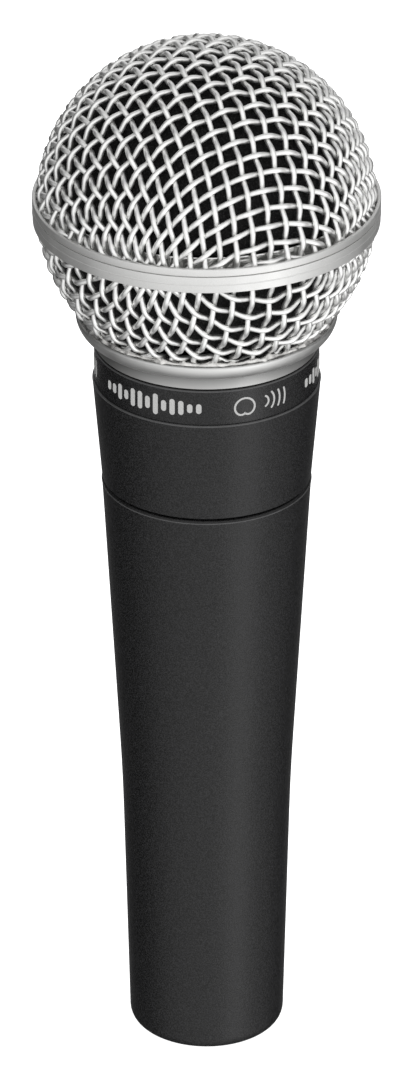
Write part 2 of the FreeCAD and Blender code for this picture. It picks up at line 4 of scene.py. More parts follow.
import bpy
import numpy as np
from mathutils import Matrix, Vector, noise


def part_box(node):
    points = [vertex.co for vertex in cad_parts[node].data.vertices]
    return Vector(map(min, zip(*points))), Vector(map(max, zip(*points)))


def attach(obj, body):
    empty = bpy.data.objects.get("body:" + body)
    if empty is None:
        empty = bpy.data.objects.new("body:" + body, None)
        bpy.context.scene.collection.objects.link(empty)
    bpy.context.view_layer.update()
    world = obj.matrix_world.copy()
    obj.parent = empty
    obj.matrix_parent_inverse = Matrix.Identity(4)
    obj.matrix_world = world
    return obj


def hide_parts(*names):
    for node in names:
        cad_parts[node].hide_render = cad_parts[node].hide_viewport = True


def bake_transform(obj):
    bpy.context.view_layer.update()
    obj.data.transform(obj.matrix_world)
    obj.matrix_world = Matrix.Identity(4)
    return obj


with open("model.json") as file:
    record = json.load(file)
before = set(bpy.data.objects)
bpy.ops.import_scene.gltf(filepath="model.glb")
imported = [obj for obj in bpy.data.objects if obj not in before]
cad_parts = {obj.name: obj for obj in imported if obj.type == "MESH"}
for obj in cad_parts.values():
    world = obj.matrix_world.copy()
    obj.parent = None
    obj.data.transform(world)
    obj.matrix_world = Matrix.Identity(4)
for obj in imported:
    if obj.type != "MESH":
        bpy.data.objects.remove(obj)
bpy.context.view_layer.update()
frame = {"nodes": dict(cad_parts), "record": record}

# Everything is in metres, in the row frame: +Z up the microphone's axis, the camera on the -Y side.
MM = 0.001
AZIMUTH_ZERO = -math.pi / 2         # azimuths are measured from -Y towards +X

# ---------------------------------------------------------------- driving dimensions

DOME_LOW, DOME_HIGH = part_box("grille_dome_mesh")
BOWL_LOW, BOWL_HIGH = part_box("grille_bowl_mesh")
BAND_LOW, BAND_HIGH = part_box("grille_band")
COLLAR_LOW, COLLAR_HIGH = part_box("grille_collar")
NAME_LOW, NAME_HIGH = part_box("name_band")

BALL_R = 25.07 * MM                 # over the crests of the wires
BALL_Z = DOME_HIGH.z - BALL_R
WIRE_D = 0.82 * MM
WEAVE_R = BALL_R - WIRE_D           # sphere through the middle of the weave
WEAVE_CELLS = 17                    # from the pole past the band, each way
# Pitch, heading and skew in degrees, shift from the pole, and which set of wires passes over first.
DOME_WEAVE = (2.580 * MM, 22.4, 2.0, (0.35 * MM, 0.01 * MM), 1)
BOWL_WEAVE = (2.845 * MM, 22.8, -1.2, (-3.61 * MM, 0.58 * MM), -1)
TUBE_SIDES = 10
STEPS_PER_CELL = 8
EDGE_BEND_Z = COLLAR_HIGH.z + 0.531 * MM    # below this the weave bends out into the collar's groove
EDGE_REACH = 0.95 * MM              # the furthest below that height that a wire goes
EDGE_PUSH = 0.9                     # outward per depth
EDGE_MAX_R = COLLAR_HIGH.x - 1.33 * MM
EDGE_CUT_Z = BOWL_LOW.z + 0.55 * MM

NAME_R = NAME_HIGH.x
NAME_MIDDLE_Z = (NAME_LOW.z + NAME_HIGH.z) / 2
INK_R = NAME_R + 0.04 * MM
INK_FOOT_R = NAME_R - 0.05 * MM

CHARCOAL = (0.0050, 0.0050, 0.0053)
# lighter than the enamel: a painted highlight for the rounded edges that catch the light
EDGE_HIGHLIGHT_CHARCOAL = (0.045, 0.045, 0.046)
ENAMEL_ROUGHNESS = 0.36
BRIGHT_NICKEL = (0.78, 0.78, 0.77)
BAND_NICKEL = (0.74, 0.74, 0.73)

CAMERA_PLACE = (0.0002, -1.1044, 0.658)
CAMERA_DOWN = 27.556                # degrees below level
CAMERA_LENS = 278.76                # millimetres, on a sensor 36 wide
CAMERA_SENSOR = 36

# The room's soft lights: azimuth, elevation, half-width at full strength and where it ends, strength.
GLOWS = [
    (12, 12, 38, 122, 1.08),
    (178, 32, 8, 46, 0.75),
    (180, -25, 5, 32, 0.20),
]
AMBIENT = 0.05


# ---------------------------------------------------------------- mesh helpers

def mesh_object(name, points, faces, smooth=True):
    """A new object from points and faces."""
    mesh = bpy.data.meshes.new(name)
    mesh.from_pydata([tuple(p) for p in points], [], [tuple(f) for f in faces])
    mesh.validate()
    mesh.polygons.foreach_set("use_smooth", [smooth] * len(mesh.polygons))
    mesh.update()
    piece = bpy.data.objects.new(name, mesh)
    bpy.context.scene.collection.objects.link(piece)
    return piece


def closed_grid(rows, columns, flip=False):
    """Quads over a grid of points, stored row by row, that closes on itself both ways."""
    faces = []
    for i in range(rows):
        for k in range(columns):
            a = i * columns + k
            b = i * columns + (k + 1) % columns
            c = (i + 1) % rows * columns + (k + 1) % columns
            d = (i + 1) % rows * columns + k
            faces.append((a, d, c, b) if flip else (a, b, c, d))
    return faces


def finish_piece(piece, body, material, replaces=()):
    """Gives a piece its body, its material and the CAD nodes that it stands for."""
    piece.data.materials.append(material)
    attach(piece, body)
    if replaces:
        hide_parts(*replaces)


def on_cylinder(radius, azimuth, z):
    """A point at a radius and an azimuth from -Y towards +X."""
    angle = azimuth + AZIMUTH_ZERO
    return (radius * math.cos(angle), radius * math.sin(angle), z)


# ---------------------------------------------------------------- woven ball

def net_quadrant(cells, step, first, second):
    """Unit points of a net with equal sides, laid on a sphere along two great circles from the pole."""
    too_short = 1e-9
    net = np.zeros((cells + 1, cells + 1, 3))
    pole = np.array([0, 0, 1])
    for i in range(cells + 1):
        net[i, 0] = first * math.sin(i * step) + pole * math.cos(i * step)
        net[0, i] = second * math.sin(i * step) + pole * math.cos(i * step)
    for i in range(cells):
        for j in range(cells):
            mirror = np.cross(net[i + 1, j], net[i, j + 1])
            length = np.linalg.norm(mirror)
            if length > too_short:
                mirror /= length
            net[i + 1, j + 1] = net[i, j] - 2 * np.dot(net[i, j], mirror) * mirror
    return net


def weave_net(cells, pitch, heading, skew, shift, upright):
    """The whole net round the pole, as an array of unit directions from the ball's centre."""
    first = np.array([1, 0, 0])
    second = np.array([-math.sin(skew), math.cos(skew), 0])
    size = 2 * cells + 1
    net = np.zeros((size, size, 3))
    steps = np.arange(cells + 1)
    for side_i in (-1, 1):
        for side_j in (-1, 1):
            rows = cells + side_i * steps
            columns = cells + side_j * steps
            quadrant = net_quadrant(cells, pitch / WEAVE_R, side_i * first, side_j * second)
            net[np.ix_(rows, columns)] = quadrant
    turn_a = shift[0] / WEAVE_R
    turn_b = shift[1] / WEAVE_R
    about_b = np.array([
        [math.cos(turn_a), 0, math.sin(turn_a)],
        [0, 1, 0],
        [-math.sin(turn_a), 0, math.cos(turn_a)],
    ])
    about_a = np.array([
        [1, 0, 0],
        [0, math.cos(turn_b), -math.sin(turn_b)],
        [0, math.sin(turn_b), math.cos(turn_b)],
    ])
    net = net @ (about_a @ about_b).T
    ahead = np.array([math.sin(heading), -math.cos(heading), 0])
    across = np.array([math.cos(heading), math.sin(heading), 0])
    pole = np.array([0, 0, 1.0 if upright else -1.0])
    return net[..., 0:1] * ahead + net[..., 1:2] * across + net[..., 2:3] * pole


def seat_edge(points):
    """Bends the lowest edge of the weave outward, so that it lies in the collar's groove."""
    depth = np.maximum(0, EDGE_BEND_Z - points[:, 2])
    points[:, 2] += depth - EDGE_REACH * (1 - np.exp(-depth / EDGE_REACH))
    radius = np.hypot(points[:, 0], points[:, 1])
    pushed = np.maximum(radius, np.minimum(radius + EDGE_PUSH * depth, EDGE_MAX_R))
    points[:, :2] *= (pushed / radius)[:, None]


def wire_line(knots, first_sign):
    """Points and outward directions along one crimped wire: a Catmull-Rom curve through its crossings."""
    count = len(knots)
    padded = np.vstack([2 * knots[0] - knots[1], knots, 2 * knots[-1] - knots[-2]])
    where = np.arange(0, (count - 1) * STEPS_PER_CELL + 1) / STEPS_PER_CELL
    cell = np.minimum(where.astype(int), count - 2)
    t = (where - cell)[:, None]
    p0, p1, p2, p3 = (padded[cell + k] for k in range(4))
    line = 0.5 * (2 * p1 + (p2 - p0) * t + (2 * p0 - 5 * p1 + 4 * p2 - p3) * t**2
                  + (3 * p1 - p0 - 3 * p2 + p3) * t**3)
    outward = line / np.linalg.norm(line, axis=1)[:, None]
    crimp = first_sign * np.cos(math.pi * where) * WIRE_D / 2
    points = outward * (WEAVE_R + crimp)[:, None] + np.array([0, 0, BALL_Z])
    seat_edge(points)
    return points, outward


def runs_between(heights, low_z, high_z):
    """Index ranges of a wire's stretches between two heights, leaving out those under half a cell long."""
    inside = (heights >= low_z) & (heights <= high_z)
    edges = np.flatnonzero(np.diff(np.concatenate([[0], inside.astype(int), [0]])))
    return [(a, b) for a, b in zip(edges[::2], edges[1::2]) if b - a > STEPS_PER_CELL // 2]


def add_tube(points, outward, vertices, faces):
    """A round wire along points, closed at both ends, added to the lists."""
    along = np.gradient(points, axis=0)
    along /= np.linalg.norm(along, axis=1)[:, None]
    side = np.cross(along, outward)
    side /= np.linalg.norm(side, axis=1)[:, None]
    up = np.cross(side, along)
    angles = 2 * math.pi * np.arange(TUBE_SIDES) / TUBE_SIDES
    base = len(vertices)
    radius = WIRE_D / 2
    rings = (points[:, None, :]
             + radius * np.cos(angles)[None, :, None] * side[:, None, :]
             + radius * np.sin(angles)[None, :, None] * up[:, None, :])
    vertices.extend(rings.reshape(-1, 3).tolist())
    for i in range(len(points) - 1):
        for k in range(TUBE_SIDES):
            a = base + i * TUBE_SIDES + k
            b = base + i * TUBE_SIDES + (k + 1) % TUBE_SIDES
            faces.append((a, b, b + TUBE_SIDES, a + TUBE_SIDES))
    faces.append(tuple(base + k for k in reversed(range(TUBE_SIDES))))
    last = base + (len(points) - 1) * TUBE_SIDES
    faces.append(tuple(last + k for k in range(TUBE_SIDES)))


def woven_wires(name, net, over_first, low_z, high_z, material, node):
    """One set of parallel wires of the weave, those along the net's first index."""
    vertices = []
    faces = []
    middle = net.shape[1] // 2
    for j in range(net.shape[1]):
        sign = over_first * (-1) ** (j - middle)
        points, outward = wire_line(net[:, j], sign)
        for start, end in runs_between(points[:, 2], low_z, high_z):
            add_tube(points[start:end], outward[start:end], vertices, faces)
    piece = mesh_object(name, vertices, faces)
    finish_piece(piece, "grille", material, [node])


def woven_shell(name, weave, upright, low_z, high_z, material, node):
    """Both sets of wires of one half of the ball, each under and over the other in turn."""
    pitch, heading, skew, shift, over = weave
    net = weave_net(WEAVE_CELLS, pitch, math.radians(heading), math.radians(skew), shift, upright)
    turned_net = net.transpose(1, 0, 2)
    woven_wires(f"{name}_wires_down", net, over, low_z, high_z, material, node)
    woven_wires(f"{name}_wires_across", turned_net, -over, low_z, high_z, material, node)


# ---------------------------------------------------------------- foam windscreen

def foam_shell(name, node, material):
    """A zone of foam just inside the wires, with an open-cell surface."""
    low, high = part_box(node)
    outer_r = 23.2 * MM
    thickness = 2.0 * MM
    columns = 420
    spacing = 0.35 * MM
    inside_spacing = 4              # times the spacing of the outside
    sink = 0.30 * MM
    sink_share = 0.4
    cell = 0.55 * MM
    low_angle = math.asin(max(-1.0, (low.z - BALL_Z) / outer_r))
    high_angle = math.asin(min(1.0, (high.z - BALL_Z) / outer_r))
    rows = int(outer_r * (high_angle - low_angle) / spacing)
    profile = []
    for i in range(rows + 1):
        profile.append((outer_r, low_angle + (high_angle - low_angle) * i / rows))
    inner_r = outer_r - thickness
    inner_rows = rows // inside_spacing
    for i in range(inner_rows + 1):
        profile.append((inner_r, high_angle + (low_angle - high_angle) * i / inner_rows))
    vertices = []
    for radius, height_angle in profile:
        for k in range(columns):
            angle = 2 * math.pi * k / columns
            direction = Vector((
                math.cos(height_angle) * math.cos(angle),
                math.cos(height_angle) * math.sin(angle),
                math.sin(height_angle),
            ))
            rough = noise.noise(direction * (radius / cell))
            depth = sink * max(0.0, sink_share + rough)
            vertices.append(direction * (radius - depth) + Vector((0, 0, BALL_Z)))
    piece = mesh_object(name, vertices, closed_grid(len(profile), columns))
    finish_piece(piece, "foam_liner", material, [node])


# ---------------------------------------------------------------- turned rings

def ring_mesh(name, outline, sharp):
    """A ring turned from a closed outline of radius and height, with edges crisp above an angle."""
    columns = 512
    vertices = []
    for k in range(columns):
        azimuth = 2 * math.pi * k / columns
        vertices.extend(on_cylinder(radius, azimuth, z) for radius, z in outline)
    piece = mesh_object(name, vertices, closed_grid(columns, len(outline), flip=True))
    piece.data.set_sharp_from_angle(angle=math.radians(sharp))
    return piece


def turned_ring(name, outline, sharp, body, material, replaces=()):
    """A turned ring, finished and riding on a body."""
    finish_piece(ring_mesh(name, outline, sharp), body, material, replaces)


def rounded(corner, start_angle, end_angle, radius, steps=5):
    """Points along a rounded edge, given its centre, angles in degrees and radius."""
    points = []
    for k in range(steps + 1):
        angle = math.radians(start_angle + (end_angle - start_angle) * k / steps)
        points.append((corner[0] + radius * math.cos(angle), corner[1] + radius * math.sin(angle)))
    return points


def ball_band(material):
    """The band round the ball: two hoops with a dark seam between them and a fine bead below it."""
    outer = BAND_HIGH.x
    bore = outer - 0.38 * MM
    top = BAND_HIGH.z
    bottom = BAND_LOW.z
    seam_z = top - 1.18 * MM
    seam_half = 0.07 * MM
    seam_r = outer - 0.28 * MM
    bead_z = bottom + 1.25 * MM
    bead_r = 0.11 * MM
    bead_reach = 60                 # degrees each way
    bead_steps = 8
    lower_r = outer - 0.07 * MM
    soft = 0.06 * MM
    edge = 0.18 * MM
    lip = 0.22 * MM
    outline = [(bore, top - 2 * lip), (bore, bottom), (lower_r - soft, bottom)]
    outline += rounded((lower_r - soft, bottom + soft), -90, 0, soft)
    outline += rounded((outer - bead_r, bead_z), -bead_reach, bead_reach, bead_r, bead_steps)
    outline += rounded((outer - soft, seam_z - seam_half - soft), 0, 90, soft)
    outline += [(seam_r, seam_z - seam_half), (seam_r, seam_z + seam_half)]
    outline += rounded((outer - soft, seam_z + seam_half + soft), -90, 0, soft)
    outline += rounded((outer - edge, top - edge), 0, 90, edge)
    outline += rounded((outer - edge - lip, top - lip), 90, 180, lip)
    turned_ring("ball_band", outline, 50, "grille", material, ["grille_band"])


def edges_painted_highlight(material):
    """Fine rounded edges on the enamelled neck and handle, coloured lighter than the enamel as a painted
    highlight.
    """
    handle_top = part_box("handle")[1]
    sides = 12
    last_angle = 180 - 360 / sides
    # name, radius and height of the middle, radius of the round, slot
    edges = (
        ("ledge_edge", NAME_R + 0.08 * MM, NAME_LOW.z, 0.20 * MM, "handle_enamel"),
        ("name_band_edge", NAME_R - 0.12 * MM, NAME_HIGH.z, 0.17 * MM, "name_band_enamel"),
        ("handle_edge", handle_top.x - 0.05 * MM, handle_top.z - 0.50 * MM, 0.12 * MM, "handle_enamel"),
    )
    for name, radius, z, round_r, slot in edges:
        outline = rounded((radius, z), -180, last_angle, round_r, sides - 1)
        turned_ring(name, outline, 80, "handle", material)


# ---------------------------------------------------------------- soft parts inside

def hang_cartridge(piece, material, node):
    """Finishes a soft piece that runs from the handle up to the cartridge: gives it its material, hides its
    CAD node and bakes its place into its points.
    """
    piece.data.materials.append(material)
    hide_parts(node)
    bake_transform(piece)


def shock_ring(material):
    """The rubber ring that hangs the cartridge in the neck, with a groove round its wall."""
    low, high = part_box("front_shock_mount")
    outer = high.x
    lip_r = outer - 0.15 * MM
    bore = outer - 1.40 * MM
    shelf_bore = outer - 2.50 * MM
    shelf_z = high.z - 2.35 * MM
    lip_z = high.z - 1.70 * MM
    groove_z = low.z + 3.00 * MM
    groove_r = 0.45 * MM
    groove_steps = 8
    shoulder = 1 * MM
    soft = 0.5 * MM
    outline = [(shelf_bore, low.z), (outer, low.z)]
    outline += rounded((outer, groove_z), -90, -270, groove_r, groove_steps)
    outline += [(outer, lip_z - shoulder), (lip_r, lip_z)]
    outline += rounded((lip_r - soft, high.z - soft), 0, 90, soft)
    outline += [(bore, high.z), (bore, shelf_z), (shelf_bore, shelf_z)]
    piece = ring_mesh("shock_ring", outline, 40)
    hang_cartridge(piece, material, "front_shock_mount")


def cartridge_wires(material):
    """The two slack leads from the transformer to the cartridge's terminals."""
    low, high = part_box("cartridge_leads")
    radius = 0.5 * MM
    x = high.x - radius
    y = high.y - radius
    leave_z = low.z + 5.0 * MM
    arrive_z = low.z + 11.0 * MM
    curve = bpy.data.curves.new("cartridge_wires", "CURVE")
    curve.dimensions = "3D"
    curve.bevel_depth = radius
    curve.use_fill_caps = True
    for side in (-1, 1):
        route = (
            (side * x, side * y, low.z),
            (side * x, side * y, leave_z),
            (side * x, 0, arrive_z),
            (side * x, 0, high.z),
        )
        spline = curve.splines.new("NURBS")
        spline.points.add(len(route) - 1)
        for point, place in zip(spline.points, route):
            point.co = (*place, 1)
        spline.order_u = 3
        spline.use_endpoint_u = True
    mesh = bpy.data.meshes.new_from_object(bpy.data.objects.new("cartridge_route", curve))
    piece = bpy.data.objects.new("cartridge_wires", mesh)
    bpy.context.scene.collection.objects.link(piece)
    hang_cartridge(piece, material, "cartridge_leads")


# ---------------------------------------------------------------- solder and marks

def solder_bead(material):
    """The uneven bead of solder in the groove between the collar's lip and the mesh."""
    columns = 360
    sides = 12
    bead_r = COLLAR_HIGH.x - 1.16 * MM
    bead_z = COLLAR_HIGH.z - 0.219 * MM
    seat_z = COLLAR_HIGH.z - 0.899 * MM
    thickness = 0.72 * MM
    swell = 0.7
    ragged = 0.35
    lump = 2.4 * MM
    ripple = 0.9 * MM
    vertices = []
    for k in range(columns):
        azimuth = 2 * math.pi * k / columns
        spine = Vector(on_cylinder(bead_r, azimuth, bead_z))
        outward = Vector(on_cylinder(1, azimuth, 0))
        size = thickness * (1 + swell * noise.noise(spine / lump))
        for side in range(sides):
            angle = 2 * math.pi * side / sides
            upward = Vector((0, 0, size * math.sin(angle)))
            place = spine + outward * (size * math.cos(angle)) + upward
            place += (place - spine) * (ragged * noise.noise(place / ripple))
            place.z = max(place.z, seat_z)
            vertices.append(place)
    piece = mesh_object("solder_bead", vertices, closed_grid(columns, sides, flip=True))
    finish_piece(piece, "grille", material)


def add_ribbon(path, half_widths, closed, vertices, faces):
    """A raised line of ink that follows a path of arc length and height on the name band."""
    path = np.array(path)
    if closed:
        along = np.roll(path, -1, axis=0) - np.roll(path, 1, axis=0)
    else:
        along = np.gradient(path, axis=0)
    along /= np.linalg.norm(along, axis=1)[:, None]
    side = np.stack([-along[:, 1], along[:, 0]], axis=1) * np.array(half_widths)[:, None]
    base = len(vertices)
    for point, offset in zip(path, side):
        corners = (
            (point + offset, INK_R),
            (point - offset, INK_R),
            (point - offset, INK_FOOT_R),
            (point + offset, INK_FOOT_R),
        )
        for edge, radius in corners:
            vertices.append(on_cylinder(radius, edge[0] / NAME_R, edge[1]))
    count = len(path)
    for i in range(count if closed else count - 1):
        for k in range(4):
            a = base + 4 * i + k
            b = base + 4 * i + (k + 1) % 4
            c = base + 4 * ((i + 1) % count) + (k + 1) % 4
            d = base + 4 * ((i + 1) % count) + k
            faces.append((a, b, c, d))
    if not closed:
        last = base + 4 * (count - 1)
        faces.append((base + 3, base + 2, base + 1, base))
        faces.append((last, last + 1, last + 2, last + 3))


def add_stroke(path, width, vertices, faces):
    """A ribbon with round ends."""
    path = [np.array(p) for p in path]
    cap_steps = 5
    start = (path[0] - path[1]) / np.linalg.norm(path[0] - path[1])
    end = (path[-1] - path[-2]) / np.linalg.norm(path[-1] - path[-2])
    half = width / 2
    reach = []
    for k in range(cap_steps):
        angle = math.pi / 2 * (cap_steps - k) / (cap_steps + 0.5)
        reach.append(half * math.sin(angle))
    cap_widths = [math.sqrt(half**2 - r**2) for r in reach]
    first_cap = [path[0] + start * r for r in reach]
    last_cap = [path[-1] + end * r for r in reversed(reach)]
    points = first_cap + path + last_cap
    widths = cap_widths + [half] * len(path) + cap_widths[::-1]
    add_ribbon(points, widths, False, vertices, faces)


def level_bars(start, vertices, faces):
    """A row of upright bars like a sound level over time."""
    count = 13
    spacing = 1.32 * MM
    width = 0.80 * MM
    tallest = 3.4 * MM
    least_share = 0.34
    more_share = 0.66
    beat = 1.9                      # radians of the quick rise and fall from bar to bar
    phase = 0.8
    margin = 0.6
    middle_z = NAME_MIDDLE_Z + 0.05 * MM
    for k in range(count):
        quick = abs(math.sin(beat * k + phase))
        slow = math.sin(math.pi * (k + phase) / (count + margin))
        share = least_share + more_share * quick * slow
        half = (tallest * share - width) / 2
        x = start + width / 2 + k * spacing
        bar = [(x, middle_z - half), (x, middle_z), (x, middle_z + half)]
        add_stroke(bar, width, vertices, faces)


def pickup_sign(start, vertices, faces):
    """A heart-shaped pickup pattern with arcs of sound beside it."""
    line = 0.30 * MM
    size = 1.18 * MM
    middle_z = NAME_MIDDLE_Z + 0.20 * MM
    heart_x = start + 1.35 * MM
    heart_steps = 40
    heart = []
    for k in range(heart_steps):
        turn = 2 * math.pi * k / heart_steps
        reach = size * (1 + math.sin(turn))
        heart.append((heart_x + reach * math.cos(turn), middle_z - size + reach * math.sin(turn)))
    add_ribbon(heart, [line / 2] * len(heart), True, vertices, faces)
    arcs_x = start + 4.3 * MM
    arc_half_height = 1.25 * MM
    widest = 0.9                    # sine of an arc's half angle, at most
    half_steps = 6
    for radius in (0.9 * MM, 1.9 * MM, 2.9 * MM, 3.9 * MM):
        spread = math.asin(min(widest, arc_half_height / radius))
        arc = []
        for k in range(2 * half_steps + 1):
            angle = spread * (k / half_steps - 1)
            arc.append((arcs_x + radius * math.cos(angle), middle_z + radius * math.sin(angle)))
        add_stroke(arc, line, vertices, faces)


def name_band_marks(material):
    """The printed marks, repeated three times round the name band."""
    vertices = []
    faces = []
    repeats = 3
    bars_start = math.radians(-60)
    sign_start = math.radians(15)
    for repeat in range(repeats):
        turn = 2 * math.pi * repeat / repeats
        level_bars(NAME_R * (turn + bars_start), vertices, faces)
        pickup_sign(NAME_R * (turn + sign_start), vertices, faces)
    piece = mesh_object("name_band_marks", vertices, faces, smooth=False)
    finish_piece(piece, "handle", material)


# ---------------------------------------------------------------- materials

class Shader:
    """A Principled material being built, with short calls for the nodes that it needs."""

    def __init__(self, name, color, roughness, metallic=0.0):
        self.material = bpy.data.materials.new(name)
        self.material.use_nodes = True
        self.tree = self.material.node_tree
        self.bsdf = self.tree.nodes["Principled BSDF"]
        self.bsdf.inputs["Base Color"].default_value = (*color, 1)
        self.bsdf.inputs["Roughness"].default_value = roughness
        self.bsdf.inputs["Metallic"].default_value = metallic
        self.normal = None

    def set(self, socket, value):
        """A value that is the same all over, on the shader's own socket."""
        self.bsdf.inputs[socket].default_value = value

    def node(self, kind):
        """A new node in the material."""
        return self.tree.nodes.new(kind)

    def link(self, source, target):
        """Joins an output to an input."""
        self.tree.links.new(source, target)

    def place(self, stretch=(1, 1, 1)):
        """Positions on the object, drawn out along an axis where stretch is small."""
        coordinates = self.node("ShaderNodeTexCoord")
        mapping = self.node("ShaderNodeMapping")
        mapping.inputs["Scale"].default_value = stretch
        self.link(coordinates.outputs["Object"], mapping.inputs["Vector"])
        return mapping.outputs["Vector"]

    def noise(self, size, detail=3.0, stretch=(1, 1, 1)):
        """Noise with features of a size in metres."""
        texture = self.node("ShaderNodeTexNoise")
        texture.inputs["Scale"].default_value = 1 / size
        texture.inputs["Detail"].default_value = detail
        self.link(self.place(stretch), texture.inputs["Vector"])
        return texture.outputs["Fac"]

    def lines(self, pitch, axis="Z", waver=0.4):
        """Parallel lines at a pitch in metres, across an axis."""
        unit_pitch = 2 * math.pi / 20       # the wave texture's own pitch at a scale of 1
        texture = self.node("ShaderNodeTexWave")
        texture.bands_direction = axis
        texture.inputs["Scale"].default_value = unit_pitch / pitch
        texture.inputs["Distortion"].default_value = waver
        texture.inputs["Detail"].default_value = 1.0
        self.link(self.place(), texture.inputs["Vector"])
        return texture.outputs["Fac"]

    def between(self, source, low, high, start=0.3, end=0.7):
        """Maps noise, which stays near its middle, to a range."""
        spread = self.node("ShaderNodeMapRange")
        spread.inputs["From Min"].default_value = start
        spread.inputs["From Max"].default_value = end
        spread.inputs["To Min"].default_value = low
        spread.inputs["To Max"].default_value = high
        self.link(source, spread.inputs["Value"])
        return spread.outputs["Result"]

    def tint(self, source, dark, light, start=0.3, end=0.7):
        """Colour between two shades, by a texture. Returns the ramp, for more shades between them."""
        ramp = self.node("ShaderNodeValToRGB")
        ramp.color_ramp.elements[0].position = start
        ramp.color_ramp.elements[0].color = (*dark, 1)
        ramp.color_ramp.elements[1].position = end
        ramp.color_ramp.elements[1].color = (*light, 1)
        self.link(source, ramp.inputs["Fac"])
        self.link(ramp.outputs["Color"], self.bsdf.inputs["Base Color"])
        return ramp.color_ramp

    def height(self):
        """Height above the floor in metres."""
        split = self.node("ShaderNodeSeparateXYZ")
        self.link(self.place(), split.inputs["Vector"])
        return split.outputs["Z"]

    def overlay(self, mask, color):
        """Lays a colour over the tint where a mask is 1."""
        tint = self.bsdf.inputs["Base Color"].links[0].from_socket
        mix = self.node("ShaderNodeMixRGB")
        mix.inputs["Color2"].default_value = (*color, 1)
        self.link(mask, mix.inputs["Fac"])
        self.link(tint, mix.inputs["Color1"])
        self.link(mix.outputs["Color"], self.bsdf.inputs["Base Color"])

    def rough(self, source, low, high):
        """Roughness between two values, by a texture."""
        self.link(self.between(source, low, high), self.bsdf.inputs["Roughness"])

    def bump(self, source, depth):
        """Relief of a depth in metres, added to any relief before it."""
        bump = self.node("ShaderNodeBump")
        bump.inputs["Distance"].default_value = depth
        self.link(source, bump.inputs["Height"])
        if self.normal:
            self.link(self.normal, bump.inputs["Normal"])
        self.normal = bump.outputs["Normal"]
        self.link(self.normal, self.bsdf.inputs["Normal"])


def shade(color, factor):
    """A colour made darker or lighter."""
    return tuple(min(1.0, c * factor) for c in color)


def grey(tone):
    """A plated metal's colour: grey, a little warmer where it is bright."""
    return (tone, tone, 0.987 * tone)


def enamel_coat(name, color, roughness):
    """A shader for baked charcoal enamel with a fine orange-peel grain."""
    shader = Shader(name, color, roughness)
    shader.set("Specular IOR Level", 0.32)
    grain = shader.noise(0.20 * MM, 2)
    shader.tint(grain, shade(color, 0.1), shade(color, 2.6), 0.40, 0.65)
    shader.rough(grain, roughness - 0.06, roughness + 0.06)
    shader.bump(grain, 0.045 * MM)
    return shader


def enamel(name, color, roughness):
    """Baked enamel all over."""
    return enamel_coat(name, color, roughness).material


def neck_enamel():
    """The neck's enamel, with bare metal left on the thread above its shoulder."""
    shoulder_z = NAME_HIGH.z + 0.15 * MM
    edge = 0.05 * MM
    shader = enamel_coat("charcoal_enamel_neck", CHARCOAL, ENAMEL_ROUGHNESS)
    bare = shader.between(shader.height(), 0, 1, shoulder_z, shoulder_z + edge)
    shader.link(bare, shader.bsdf.inputs["Metallic"])
    shader.overlay(bare, grey(0.55))
    return shader.material


def turned_metal(name, color, roughness, stretch=(0.02, 0.02, 1), depth=0.0015 * MM):
    """Bare or plated metal with fine lines from the lathe, or drawn out another way."""
    shader = Shader(name, color, roughness, 1.0)
    lines = shader.noise(0.12 * MM, 3, stretch)
    shader.rough(lines, roughness - 0.05, roughness + 0.06)
    shader.tint(shader.noise(2.5 * MM, 5), shade(color, 0.93), color)
    shader.bump(lines, depth)
    return shader.material


def matt_plating(name, color, roughness):
    """Blasted and plated metal: an even, very fine grain."""
    shader = Shader(name, color, roughness, 1.0)
    grain = shader.noise(0.10 * MM, 3)
    shader.rough(shader.noise(4 * MM, 4), roughness - 0.04, roughness + 0.05)
    shader.tint(grain, shade(color, 0.92), shade(color, 1.04))
    shader.bump(grain, 0.004 * MM)
    return shader.material


def collar_metal():
    """The collar's plating, toned by height: the foot darkens upward into a painted shadow in the crease
    above it, the cup brightens upward as a painted highlight, and the lip's top is darker as painted shade.
    """
    foot_z = COLLAR_LOW.z
    # height above the foot, tone
    tones = (
        (0.1 * MM, 0.46),
        # painted shadow: dark at the crease between foot and cup, the foot darkening up to it
        (1.7 * MM, 0.23),
        (1.9 * MM, 0.62),
        # painted highlight: the cup brightening towards its top
        (4.6 * MM, 0.77),
        # painted shade: darker on the lip's top
        (4.9 * MM, 0.42),
    )
    low_rise, low_tone = tones[0]
    high_rise, high_tone = tones[-1]
    shader = Shader("cast_nickel", grey(high_tone), 0.46, 1.0)
    height = shader.between(shader.height(), 0, 1, foot_z + low_rise, foot_z + high_rise)
    ramp = shader.tint(height, grey(low_tone), grey(high_tone), 0, 1)
    for rise, tone in tones[1:-1]:
        share = (rise - low_rise) / (high_rise - low_rise)
        ramp.elements.new(share).color = (*grey(tone), 1)
    shader.rough(shader.noise(3 * MM, 4), 0.42, 0.50)
    shader.bump(shader.noise(0.10 * MM, 3), 0.004 * MM)
    return shader.material


def wire_metal():
    """Satin plated wire, with a faint change of gloss along it."""
    color = (0.94, 0.94, 0.93)
    shader = Shader("satin_wire", color, 0.46, 1.0)
    shader.tint(shader.noise(1.4 * MM, 4), shade(color, 0.92), shade(color, 1.03))
    shader.rough(shader.noise(0.5 * MM, 3), 0.40, 0.50)
    shader.bump(shader.noise(0.12 * MM, 2), 0.003 * MM)
    return shader.material


def solder():
    """Bright solder with flux left on it."""
    color = (0.86, 0.85, 0.83)
    shader = Shader("solder", color, 0.3, 1.0)
    shader.tint(shader.noise(1.2 * MM, 3), shade(color, 0.55), color)
    shader.rough(shader.noise(0.8 * MM, 3), 0.20, 0.42)
    shader.bump(shader.noise(0.7 * MM, 2), 0.05 * MM)
    return shader.material


def ink():
    """Light grey printing ink."""
    color = (0.38, 0.38, 0.375)
    shader = Shader("printed_ink", color, 0.5)
    grain = shader.noise(0.15 * MM, 3)
    shader.tint(grain, shade(color, 0.85), shade(color, 1.08))
    shader.rough(grain, 0.45, 0.55)
    shader.bump(grain, 0.004 * MM)
    return shader.material


